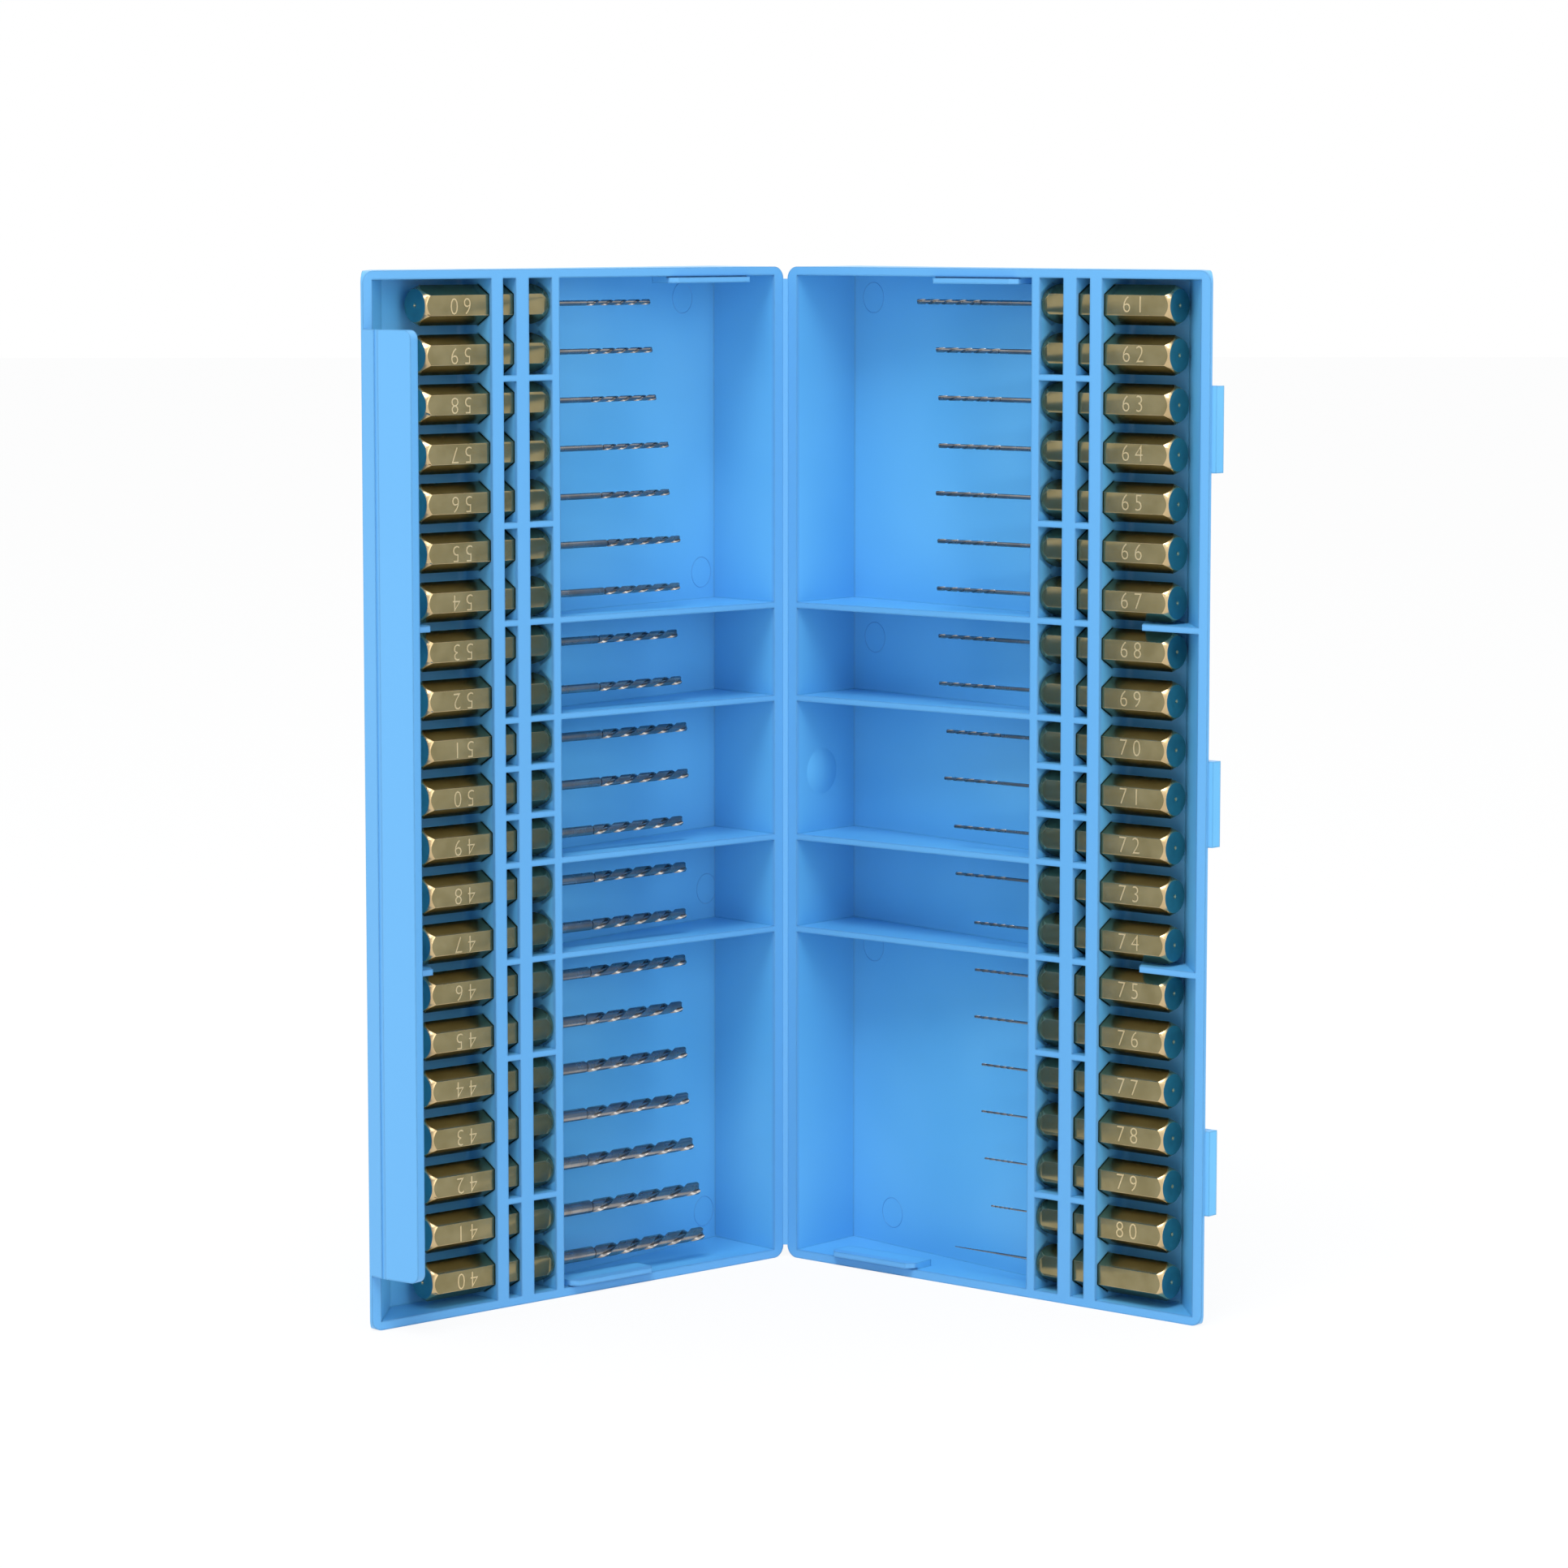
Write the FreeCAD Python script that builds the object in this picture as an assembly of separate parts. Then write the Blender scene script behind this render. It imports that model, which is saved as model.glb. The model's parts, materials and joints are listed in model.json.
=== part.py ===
import FreeCAD, Part
import math
import os

# Folding drill bit case of moulded polypropylene, standing on its end like an open book.
# Two trays share one living hinge along the spine. Each tray holds a column of drills with
# quarter inch hex shanks, pushed through three socket rails. The latch tray carries a
# hinged flap along its outer edge, which wraps over three catches on the other tray.
# Millimetres and degrees. +Z is up, the spine is at the back (+Y), the trays open to -Y.
#
# Each tray is drawn in its own frame and then turned into place:
#   u runs from the hinge line to the outer rim, w from the rim plane down into the tray,
#   z up along the spine. The latch tray is the mirror image, on the -X side.

# Driving dimensions
CASE_HEIGHT = 190.5
OPENING_ANGLE = 97.7
SOCKET_PITCH = 8.89
HEX_FLATS = 6.35
SHANK_LENGTH = 28.9

# Tray section
WALL = 1.5
END_WALL = 1.6
SPINE_FACE = 0.4
SPINE_WALL = 2.3
SPINE_DEPTH = 17.5
FLOOR_DEPTH = 9.0
FLAT_FLOOR_LEAD = 1.4
RIM_GAP = 0.15
RIM_WIDTH = 2.0
RIM_LIP = 0.8
RAMP_RUN = 8.9
CORNER_RADIUS = 2.3
RIB = 1.1
OVERRUN = 3.0

# Socket rails, measured on the latch tray; the catch tray's are shifted outwards
RAIL_C_START = 55.4
RAIL_C_THICK = 1.8
RAIL_C_TO_B = 7.2
RAIL_B_THICK = 3.0
RAIL_B_TO_A = 6.0
RAIL_A_THICK = 2.7
RAIL_SHIFT = 3.1
RAIL_FILLET = 1.3
SOCKET_CLEARANCE = 0.15
SOCKET_FRONT = 0.95
NOSE_POCKET = 0.5
NOSE_POCKET_CLEARANCE = 0.3
DRILL_HOLE_RADIUS = 1.5
SEAT_GAP = 0.15
TAIL_CLEARANCE = 0.3311

# Ribs lie in the gap below the socket of that number, counted from the top
SMALL_RIB_GAPS = (2, 5, 7, 9, 10, 11, 12, 14, 16, 19)
WEB_GAPS = (7, 9, 12, 14)
FINGER_WEB_GAPS = (7, 14)
FINGER_WEB_REACH = 13.5
FINGER_WEB_SLOPE = 2.5

# Alignment tongues: where each starts along the tray, and their common sizes
TONGUE_LENGTH = 20.0
TONGUE_THICK = 1.0
TONGUE_PROUD = 1.3
TONGUE_DEPTH = 5.0
TONGUE_TAPER = 1.2
TONGUE_CLEARANCE = 0.25
LATCH_TOP_TONGUE = 9.0
CATCH_BOTTOM_TONGUE = 12.0
CATCH_TONGUE_SHIFT = 1.5

# Dome on the catch tray's spine wall, a plug of the moulding
DOME_RADIUS = 4.4
DOME_HEIGHT = 0.7
DOME_HEIGHT_UP = 94.0
DOME_DEPTH = 7.6

# Latch flap and catches
FLAP_LENGTH = 170.0
FLAP_REACH = 7.6
FLAP_THICK = 1.3
FLAP_LEAN = 12.5
FLAP_CORNER = 1.6
FLAP_BEAD = 1.2
FLAP_BEAD_PROUD = 0.7
ROOT_HEIGHT = 2.8
ROOT_THICK = 0.9
HINGE_WEB = 0.4
HINGE_GAP = 0.8
LATCH_CLEARANCE = 0.2
CATCH_LENGTH = 15.5
CATCH_PROUD = 0.9
CATCH_PITCH = 67.1
CATCH_TOP = 0.9
CATCH_BOTTOM = 3.2
SPINE_WEB_THICK = 0.5

# Bits
TAIL_CHAMFER = 1.3
TAIL_END_APOTHEM = 2.95
NOSE_END_APOTHEM = 2.75
NOSE_CRIMP_APOTHEM = 3.3
NOSE_CRIMP = 1.0
NOSE_LENGTH = 2.6
POINT_ANGLE = 118.0
NEEDLE_STEM = 4.4
NEEDLE_STEM_RADIUS = 0.45
NEEDLE_RADIUS = 0.25
NEEDLE_TIP_RADIUS = 0.08
NEEDLE_REACH = 21.4

# Gauge number, drill diameter, reach past the shank's nose, from the top socket down
LATCH_TRAY_BITS = (
    (60, 1.016, 26.6), (59, 1.041, 27.1), (58, 1.067, 28.0), (57, 1.092, 31.0),
    (56, 1.181, 31.2), (55, 1.321, 33.8), (54, 1.397, 33.7), (53, 1.511, 33.0),
    (52, 1.613, 34.0), (51, 1.702, 35.3), (50, 1.778, 35.6), (49, 1.854, 34.2),
    (48, 1.930, 35.0), (47, 1.994, 35.0), (46, 2.057, 34.9), (45, 2.083, 34.0),
    (44, 2.184, 35.0), (43, 2.261, 35.5), (42, 2.375, 36.6), (41, 2.438, 38.2),
    (40, 2.489, 39.2),
)
CATCH_TRAY_BITS = (
    (61, 0.991, 31.3), (62, 0.965, 26.8), (63, 0.940, 26.2), (64, 0.914, 26.1),
    (65, 0.889, 26.7), (66, 0.838, 26.3), (67, 0.813, 26.4), (68, 0.787, 26.0),
    (69, 0.742, 25.8), (70, 0.711, 24.0), (71, 0.660, 24.5), (72, 0.635, 22.1),
    (73, 0.610, 21.7), (74, 0.572, 17.2), (75, 0.533, 17.0), (76, 0.508, 17.1),
    (77, 0.457, 15.3), (78, 0.406, 15.3), (79, 0.368, 14.5), (80, 0.343, 12.9),
)

# Worked out from the sizes above
TRAY_TURN = (180.0 - OPENING_ANGLE) / 2
RAIL_B_START = RAIL_C_START + RAIL_C_TO_B
RAIL_A_START = RAIL_B_START + RAIL_B_TO_A
FLAT_FLOOR_START = RAIL_C_START - FLAT_FLOOR_LEAD
LATCH_BOTTOM_TONGUE = FLAT_FLOOR_START - TONGUE_LENGTH
CATCH_TOP_TONGUE = LATCH_BOTTOM_TONGUE + CATCH_TONGUE_SHIFT
AXIS_DEPTH = RIM_GAP + SOCKET_FRONT - SOCKET_CLEARANCE + HEX_FLATS / 2

# The catch tray's ramp clears the shanks' tails, and the latch closes round that tray
NOSE = RAIL_C_START + RAIL_C_THICK - NOSE_POCKET + SEAT_GAP
RAMP_AT_TAIL = RAMP_RUN * (AXIS_DEPTH + HEX_FLATS / 2) / FLOOR_DEPTH
CATCH_TRAY_WIDTH = NOSE + RAIL_SHIFT + SHANK_LENGTH + TAIL_CLEARANCE + RAMP_AT_TAIL + RIM_WIDTH
ROOT_INNER = CATCH_TRAY_WIDTH + CATCH_PROUD + LATCH_CLEARANCE
TRAY_WIDTH = ROOT_INNER + ROOT_THICK

# As many sockets as fit between the end walls
SOCKET_COUNT = int((CASE_HEIGHT - 2 * END_WALL) / SOCKET_PITCH)
TOP_SOCKET = (CASE_HEIGHT + (SOCKET_COUNT - 1) * SOCKET_PITCH) / 2
DEEP = FLOOR_DEPTH + WALL / 2
HEX_SIDES = 6
UP = FreeCAD.Vector(0, 0, 1)
OUTWARDS = FreeCAD.Vector(1, 0, 0)
ORIGIN = FreeCAD.Vector(0, 0, 0)


def face_of(points):
    """Closed flat face through points given as vectors."""
    return Part.Face(Part.makePolygon(points + points[:1]))


def section_prism(outline, low, high):
    """Section of (u, w) points, drawn at height low and extruded up to high."""
    face = face_of([FreeCAD.Vector(u, w, low) for u, w in outline])
    return face.extrude(UP * (high - low))


def box(u, w, z):
    """Block between two limits along each local axis."""
    corner = FreeCAD.Vector(u[0], w[0], z[0])
    return Part.makeBox(u[1] - u[0], w[1] - w[0], z[1] - z[0], corner)


def gap_height(gap):
    """Height of the middle of the gap below socket number gap."""
    return TOP_SOCKET - (gap - 0.5) * SOCKET_PITCH


def outer_section(width):
    """Outside of the wedge shaped tray: spine wall, sloped floor, flat floor, ramp, rim."""
    depth = FLOOR_DEPTH + WALL
    ramp = (depth - RIM_LIP) * RAMP_RUN / FLOOR_DEPTH
    return (
        (SPINE_FACE, RIM_GAP),
        (SPINE_FACE, SPINE_DEPTH + WALL),
        (FLAT_FLOOR_START, depth),
        (width - ramp, depth),
        (width, RIM_LIP),
        (width, RIM_GAP),
    )


def inner_section(width):
    """Inside of the tray, run past the rim so that it also opens the mouth."""
    spine = SPINE_FACE + SPINE_WALL
    rim = width - RIM_WIDTH
    return (
        (spine, -OVERRUN),
        (spine, SPINE_DEPTH),
        (FLAT_FLOOR_START, FLOOR_DEPTH),
        (rim - RAMP_RUN, FLOOR_DEPTH),
        (rim, RIM_GAP),
        (rim, -OVERRUN),
    )


def rounded_plan(width):
    """Block with the tray's outline seen from the mouth, its four corners rounded."""
    plan = box((SPINE_FACE, width), (-OVERRUN, SPINE_DEPTH + WALL + OVERRUN), (0, CASE_HEIGHT))
    corners = [edge for edge in plan.Edges if abs(edge.tangentAt(edge.FirstParameter).y) > 0.5]
    return plan.makeFillet(CORNER_RADIUS, corners)


def tray_shell(width):
    """Open tray without its rails and ribs."""
    body = section_prism(outer_section(width), 0, CASE_HEIGHT).common(rounded_plan(width))
    cavity = section_prism(inner_section(width), END_WALL, CASE_HEIGHT - END_WALL)
    return body.cut(cavity)


def rail(start, thick):
    """Rail across the shanks with a fillet at the foot of its outer side."""
    end = start + thick
    low = END_WALL / 2
    swing = RAIL_FILLET * (1 - math.sqrt(0.5))
    foot_top = FreeCAD.Vector(end, FLOOR_DEPTH - RAIL_FILLET, low)
    foot_mid = FreeCAD.Vector(end + swing, FLOOR_DEPTH - swing, low)
    foot_end = FreeCAD.Vector(end + RAIL_FILLET, FLOOR_DEPTH, low)
    edges = [Part.Arc(foot_top, foot_mid, foot_end).toShape()]
    path = [
        foot_end,
        FreeCAD.Vector(end + RAIL_FILLET, DEEP, low),
        FreeCAD.Vector(start, DEEP, low),
        FreeCAD.Vector(start, RIM_GAP, low),
        FreeCAD.Vector(end, RIM_GAP, low),
        foot_top,
    ]
    edges += [Part.makeLine(a, b) for a, b in zip(path, path[1:])]
    return Part.Face(Part.Wire(edges)).extrude(UP * (CASE_HEIGHT - END_WALL))


def small_rib(gap, shift):
    """Rib that ties the three rails together between two shanks."""
    middle = gap_height(gap)
    start = RAIL_C_START + shift + RAIL_C_THICK / 2
    end = RAIL_A_START + shift + RAIL_A_THICK / 2
    return box((start, end), (RIM_GAP, DEEP), (middle - RIB / 2, middle + RIB / 2))


def web(gap, shift):
    """Full web from the inner rail to the spine wall, as deep as the wedge."""
    middle = gap_height(gap)
    spine = SPINE_FACE + SPINE_WALL / 2
    end = RAIL_C_START + shift + RAIL_C_THICK / 2
    outline = (
        (spine, RIM_GAP),
        (spine, SPINE_DEPTH + WALL / 2),
        (FLAT_FLOOR_START, DEEP),
        (end, DEEP),
        (end, RIM_GAP),
    )
    return section_prism(outline, middle - RIB / 2, middle + RIB / 2)


def finger_web(gap, width):
    """Short web on the ramp, between two shank ends, sloped at its free end."""
    middle = gap_height(gap)
    rim = width - RIM_WIDTH / 2
    start = rim - FINGER_WEB_REACH
    outline = (
        (rim, RIM_GAP),
        (rim - RAMP_RUN, DEEP),
        (start - FINGER_WEB_SLOPE, DEEP),
        (start - FINGER_WEB_SLOPE, FLOOR_DEPTH / 2),
        (start, RIM_GAP),
    )
    return section_prism(outline, middle - RIB / 2, middle + RIB / 2)


def tongue(start, top):
    """Tapered alignment tongue on a pad inside the top or the bottom end wall."""
    end = start + TONGUE_LENGTH
    outline = (
        (start, TONGUE_DEPTH),
        (start, RIM_GAP),
        (start + TONGUE_TAPER, -TONGUE_PROUD),
        (end - TONGUE_TAPER, -TONGUE_PROUD),
        (end, RIM_GAP),
        (end, TONGUE_DEPTH),
    )
    near = END_WALL + TONGUE_CLEARANCE
    blade = section_prism(outline, near, near + TONGUE_THICK)
    under_rim = RIM_GAP + RIM_LIP
    pad = box((start, end), (under_rim, TONGUE_DEPTH), (END_WALL / 2, near + TONGUE_THICK / 2))
    shape = blade.fuse(pad)
    if top:
        middle = FreeCAD.Vector(0, 0, CASE_HEIGHT / 2)
        shape = shape.mirror(middle, UP)
    return shape


def hexagon(u, middle, apothem, turn):
    """Hexagonal wire round a shank's axis; turn 0 puts two flats square to w."""
    radius = apothem / math.cos(math.pi / HEX_SIDES)
    points = []
    for side in range(HEX_SIDES):
        angle = math.radians(turn) + 2 * math.pi * side / HEX_SIDES
        w = AXIS_DEPTH + radius * math.sin(angle)
        points.append(FreeCAD.Vector(u, w, middle + radius * math.cos(angle)))
    return Part.makePolygon(points + points[:1])


def hex_prism(start, end, middle, apothem):
    """Hexagonal bar along u."""
    return Part.Face(hexagon(start, middle, apothem, 0)).extrude(OUTWARDS * (end - start))


def socket_tools(shift):
    """Cutting tools for every socket: hex holes in rails A and B, pocket and bore in rail C."""
    rail_c_end = RAIL_C_START + RAIL_C_THICK + shift
    gap_cb = (rail_c_end + RAIL_B_START + shift) / 2
    past_a = RAIL_A_START + shift + RAIL_A_THICK + OVERRUN
    bore = RAIL_C_THICK + OVERRUN + SOCKET_CLEARANCE
    tools = []
    for number in range(SOCKET_COUNT):
        middle = TOP_SOCKET - number * SOCKET_PITCH
        tools.append(hex_prism(gap_cb, past_a, middle, HEX_FLATS / 2 + SOCKET_CLEARANCE))
        pocket = HEX_FLATS / 2 + NOSE_POCKET_CLEARANCE
        tools.append(hex_prism(rail_c_end - NOSE_POCKET, gap_cb - SOCKET_CLEARANCE, middle, pocket))
        centre = FreeCAD.Vector(RAIL_C_START + shift - OVERRUN, AXIS_DEPTH, middle)
        tools.append(Part.makeCylinder(DRILL_HOLE_RADIUS, bore, centre, OUTWARDS))
    return tools


def tray(width, shift, top_tongue, bottom_tongue, extras):
    """Whole tray in its own frame, with rails, ribs, webs, tongues and the given extras."""
    ribs = [rail(RAIL_C_START + shift, RAIL_C_THICK)]
    ribs.append(rail(RAIL_B_START + shift, RAIL_B_THICK))
    ribs.append(rail(RAIL_A_START + shift, RAIL_A_THICK))
    ribs += [small_rib(gap, shift) for gap in SMALL_RIB_GAPS if gap < SOCKET_COUNT]
    ribs += [web(gap, shift) for gap in WEB_GAPS if gap < SOCKET_COUNT]
    ribs += [finger_web(gap, width) for gap in FINGER_WEB_GAPS if gap < SOCKET_COUNT]
    ribs += [tongue(top_tongue, True), tongue(bottom_tongue, False)]
    body = tray_shell(width).fuse(ribs + extras)
    return body.cut(socket_tools(shift)).removeSplitter()


def flap_span():
    """Lower and upper end of the latch flap."""
    low = (CASE_HEIGHT - FLAP_LENGTH) / 2
    return low, low + FLAP_LENGTH


def root_strip():
    """Strip that stands on the latch tray's outer rim and carries the flap."""
    return box((ROOT_INNER, TRAY_WIDTH), (-ROOT_HEIGHT, RIM_LIP), flap_span())


def catches():
    """Three catch tabs just behind the catch tray's outer rim."""
    width = CATCH_TRAY_WIDTH
    tip = width + CATCH_PROUD
    foot = width - CATCH_BOTTOM
    shapes = []
    for step in (-1, 0, 1):
        middle = CASE_HEIGHT / 2 + step * CATCH_PITCH
        outline = (
            (width - RIM_WIDTH / 2, RIM_LIP / 2),
            (tip, CATCH_TOP),
            (tip, CATCH_BOTTOM),
            (foot, CATCH_BOTTOM),
        )
        shapes.append(section_prism(outline, middle - CATCH_LENGTH / 2, middle + CATCH_LENGTH / 2))
    return shapes


def dome():
    """Shallow round plug on the inner face of the catch tray's spine wall."""
    curve = (DOME_RADIUS ** 2 + DOME_HEIGHT ** 2) / (2 * DOME_HEIGHT)
    face = SPINE_FACE + SPINE_WALL
    centre = FreeCAD.Vector(face + DOME_HEIGHT - curve, DOME_DEPTH, DOME_HEIGHT_UP)
    ball = Part.makeSphere(curve, centre)
    middle = face - SPINE_WALL / 2
    slab = box(
        (middle, face + DOME_HEIGHT),
        (DOME_DEPTH - DOME_RADIUS, DOME_DEPTH + DOME_RADIUS),
        (DOME_HEIGHT_UP - DOME_RADIUS, DOME_HEIGHT_UP + DOME_RADIUS),
    )
    base = FreeCAD.Vector(middle, DOME_DEPTH, DOME_HEIGHT_UP)
    rod = Part.makeCylinder(DOME_RADIUS, SPINE_WALL, base, OUTWARDS)
    return ball.common(rod).common(slab)


def flap_pivot():
    """Point on the living hinge between the root strip and the flap."""
    return FreeCAD.Vector(TRAY_WIDTH - ROOT_THICK / 2, -ROOT_HEIGHT - HINGE_GAP / 2, 0)


def latch_flap():
    """Flap with a bead along its free edge, leaning in over the rim."""
    low, high = flap_span()
    pivot = flap_pivot()
    outer = pivot.x + ROOT_THICK / 2
    inner = outer - FLAP_THICK
    start = pivot.y - HINGE_GAP / 2
    end = start - FLAP_REACH
    bead = inner - FLAP_BEAD_PROUD
    outline = (
        (outer, start),
        (inner, start),
        (inner, end + 2 * FLAP_BEAD),
        (bead, end + FLAP_BEAD),
        (bead, end),
        (outer, end),
    )
    panel = section_prism(outline, low, high)
    plan = box((bead, outer), (end, start), (low, high))
    free_corners = [
        edge for edge in plan.Edges
        if abs(edge.tangentAt(edge.FirstParameter).x) > 0.5 and abs(edge.CenterOfMass.y - end) < HINGE_WEB
    ]
    panel = panel.common(plan.makeFillet(FLAP_CORNER, free_corners))
    panel.rotate(pivot, UP, -FLAP_LEAN)
    return panel


def latch_hinge_web():
    """Thin strip of plastic between the root strip and the flap."""
    low, high = flap_span()
    pivot = flap_pivot()
    half = HINGE_WEB / 2
    gap = HINGE_GAP / 2
    lean = math.radians(FLAP_LEAN)
    outline = [(pivot.x - half, pivot.y + gap), (pivot.x + half, pivot.y + gap)]
    for across in (half, -half):
        u = pivot.x + across * math.cos(lean) - gap * math.sin(lean)
        w = pivot.y - across * math.sin(lean) - gap * math.cos(lean)
        outline.append((u, w))
    return section_prism(outline, low, high)


def shank(start, middle):
    """Hex shank with a chamfered tail and a crimped nose."""
    end = start + SHANK_LENGTH
    full = HEX_FLATS / 2 / math.cos(math.pi / HEX_SIDES) + SOCKET_CLEARANCE
    stations = (
        (start, NOSE_END_APOTHEM),
        (start + NOSE_CRIMP, NOSE_CRIMP_APOTHEM),
        (start + NOSE_LENGTH, full),
        (end - TAIL_CHAMFER, full),
        (end, TAIL_END_APOTHEM),
    )
    turn = math.degrees(math.pi / HEX_SIDES)
    envelope = Part.makeLoft([hexagon(u, middle, apothem, turn) for u, apothem in stations], True, True)
    return hex_prism(start, end, middle, HEX_FLATS / 2).common(envelope)


def twist_drill(start, middle, diameter, reach):
    """Straight drill with its point; it sits against the shank's nose."""
    radius = diameter / 2
    point = radius / math.tan(math.radians(POINT_ANGLE / 2))
    base = FreeCAD.Vector(start, AXIS_DEPTH, middle)
    neck = base - OUTWARDS * (reach - point)
    body = Part.makeCylinder(radius, reach - point, base, -OUTWARDS)
    return body.fuse(Part.makeCone(radius, 0, point, neck, -OUTWARDS)).removeSplitter()


def needle(start, middle):
    """Stepped needle of the unnumbered bit in the last socket."""
    base = FreeCAD.Vector(start, AXIS_DEPTH, middle)
    stem = Part.makeCylinder(NEEDLE_STEM_RADIUS, NEEDLE_STEM, base, -OUTWARDS)
    step = base - OUTWARDS * NEEDLE_STEM
    point = Part.makeCone(NEEDLE_RADIUS, NEEDLE_TIP_RADIUS, NEEDLE_REACH - NEEDLE_STEM, step, -OUTWARDS)
    return stem.fuse(point).removeSplitter()


def bits(table, shift):
    """Names and shapes of one tray's bits, from the top socket down."""
    made = {}
    for place, (number, diameter, reach) in enumerate(table):
        middle = TOP_SOCKET - place * SOCKET_PITCH
        parts = [shank(NOSE + shift, middle), twist_drill(NOSE + shift, middle, diameter, reach)]
        made[f"bit_{number}"] = Part.makeCompound(parts)
    return made


def needle_bit(shift):
    """Unnumbered bit in the last socket of the catch tray."""
    middle = TOP_SOCKET - (SOCKET_COUNT - 1) * SOCKET_PITCH
    return Part.makeCompound([shank(NOSE + shift, middle), needle(NOSE + shift, middle)])


def spine_hinge_web():
    """Strip that fills the root of the V between the two spine walls."""
    turn = math.radians(TRAY_TURN)
    edge = []
    for depth in (RIM_GAP, RIM_GAP + SPINE_WEB_THICK):
        across = SPINE_FACE * math.cos(turn) + depth * math.sin(turn)
        back = depth * math.cos(turn) - SPINE_FACE * math.sin(turn)
        edge.append((across, back))
    outline = (edge[0], edge[1], (-edge[1][0], edge[1][1]), (-edge[0][0], edge[0][1]))
    return section_prism(outline, CORNER_RADIUS, CASE_HEIGHT - CORNER_RADIUS)


def turn_catch_side(shape):
    """From the local frame to the +X side of the open case."""
    shape.rotate(ORIGIN, UP, -TRAY_TURN)
    return shape


def turn_latch_side(shape):
    """From the local frame, mirrored, to the -X side of the open case."""
    turned = shape.mirror(ORIGIN, OUTWARDS)
    turned.rotate(ORIGIN, UP, TRAY_TURN)
    return turned


def build():
    """Name and placed shape of every piece, with the hinge line at x = y = 0."""
    latch_side = {
        "latch_tray": tray(TRAY_WIDTH, 0, LATCH_TOP_TONGUE, LATCH_BOTTOM_TONGUE, [root_strip()]),
        "latch_hinge_web": latch_hinge_web(),
        "latch_flap": latch_flap(),
    }
    latch_side.update(bits(LATCH_TRAY_BITS[:SOCKET_COUNT], 0))
    tongues = (CATCH_TOP_TONGUE, CATCH_BOTTOM_TONGUE)
    catch_side = {
        "catch_tray": tray(CATCH_TRAY_WIDTH, RAIL_SHIFT, *tongues, catches() + [dome()]),
        "bit_needle": needle_bit(RAIL_SHIFT),
    }
    catch_side.update(bits(CATCH_TRAY_BITS[:SOCKET_COUNT - 1], RAIL_SHIFT))
    pieces = {name: turn_latch_side(shape) for name, shape in latch_side.items()}
    pieces.update({name: turn_catch_side(shape) for name, shape in catch_side.items()})
    pieces["spine_hinge_web"] = spine_hinge_web()
    return pieces


def main():
    """Stand the case on the origin, centred under its bounding box, and write the files."""
    os.makedirs("parts", exist_ok=True)
    pieces = build()
    bound = Part.makeCompound(list(pieces.values())).optimalBoundingBox(False, False)
    shift = FreeCAD.Vector(-bound.Center.x, -bound.Center.y, -bound.ZMin)
    for name, shape in pieces.items():
        shape.translate(shift)
        shape.exportStep(f"parts/{name}.step")
        if not shape.isValid():
            print("not valid:", name)
    turn = math.radians(TRAY_TURN)
    pivot = flap_pivot()
    pivot_x = shift.x - pivot.x * math.cos(turn) - pivot.y * math.sin(turn)
    pivot_y = shift.y - pivot.x * math.sin(turn) + pivot.y * math.cos(turn)
    print(f"{len(pieces)} pieces, {bound.XLength:.2f} x {bound.YLength:.2f} x {bound.ZLength:.2f} mm")
    print(f"hinge line at x {shift.x:.4f}, y {shift.y:.4f}; flap pivot at x {pivot_x:.4f}, y {pivot_y:.4f}")


main()
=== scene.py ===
"""Looks of a folding drill bit case: blue moulded trays, brass hex shanks and twist drills.

Sizes are in millimetres and degrees, and the frame and the shaders are in metres.
"""

from __future__ import annotations

import json
import logging
import math
from collections.abc import Callable
from dataclasses import dataclass
from enum import Enum

import bpy
from mathutils import Matrix, Vector


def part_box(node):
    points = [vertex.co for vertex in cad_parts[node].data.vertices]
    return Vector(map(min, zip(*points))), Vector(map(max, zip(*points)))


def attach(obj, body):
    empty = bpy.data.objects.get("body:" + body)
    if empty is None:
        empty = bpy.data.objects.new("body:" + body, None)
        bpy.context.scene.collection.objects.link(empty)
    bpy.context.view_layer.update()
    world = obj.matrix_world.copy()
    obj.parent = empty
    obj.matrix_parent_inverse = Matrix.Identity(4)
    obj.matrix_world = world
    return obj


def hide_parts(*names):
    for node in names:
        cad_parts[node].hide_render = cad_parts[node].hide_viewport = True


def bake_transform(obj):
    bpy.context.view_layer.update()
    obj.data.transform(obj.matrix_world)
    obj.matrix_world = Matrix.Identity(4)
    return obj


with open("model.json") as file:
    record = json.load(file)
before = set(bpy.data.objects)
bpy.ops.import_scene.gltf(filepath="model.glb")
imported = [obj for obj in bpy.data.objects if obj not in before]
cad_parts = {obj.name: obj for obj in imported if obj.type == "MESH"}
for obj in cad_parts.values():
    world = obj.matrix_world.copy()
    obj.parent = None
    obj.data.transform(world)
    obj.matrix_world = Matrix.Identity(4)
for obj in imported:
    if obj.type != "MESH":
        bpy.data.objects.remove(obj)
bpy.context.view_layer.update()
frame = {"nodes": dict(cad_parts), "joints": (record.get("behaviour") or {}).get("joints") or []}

LOG = logging.getLogger("drill_bit_case")

Colour = tuple[float, float, float, float]

MM = 0.001
NEAR = 1e-4
UNIT_RADIUS = 0.5
Z_ALONG_X = Matrix.Rotation(math.pi / 2, 4, "Y")
DRIFT_SPAN = (0.3, 0.7)
WHITE: Colour = (1, 1, 1, 1)
# Paler blue painted on the tray rims and on thin pieces: a painted glow that stands in for light
# coming through the thin plastic.
PAINTED_GLOW_BLUE: Colour = (0.130, 0.41, 0.76, 1)


class Side(Enum):
    """Which tray a piece belongs to, and the sign of its run away from the hinge."""

    LATCH = -1
    CATCH = 1

    @property
    def body(self) -> str:
        """Name of the CAD body of this tray."""
        return "latch_side" if self is Side.LATCH else "catch_side"


class ShankFace(Enum):
    """Kinds of face on a shank, each with its material slot."""

    FLAT = 0
    CUT = 1
    END = 2


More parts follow.
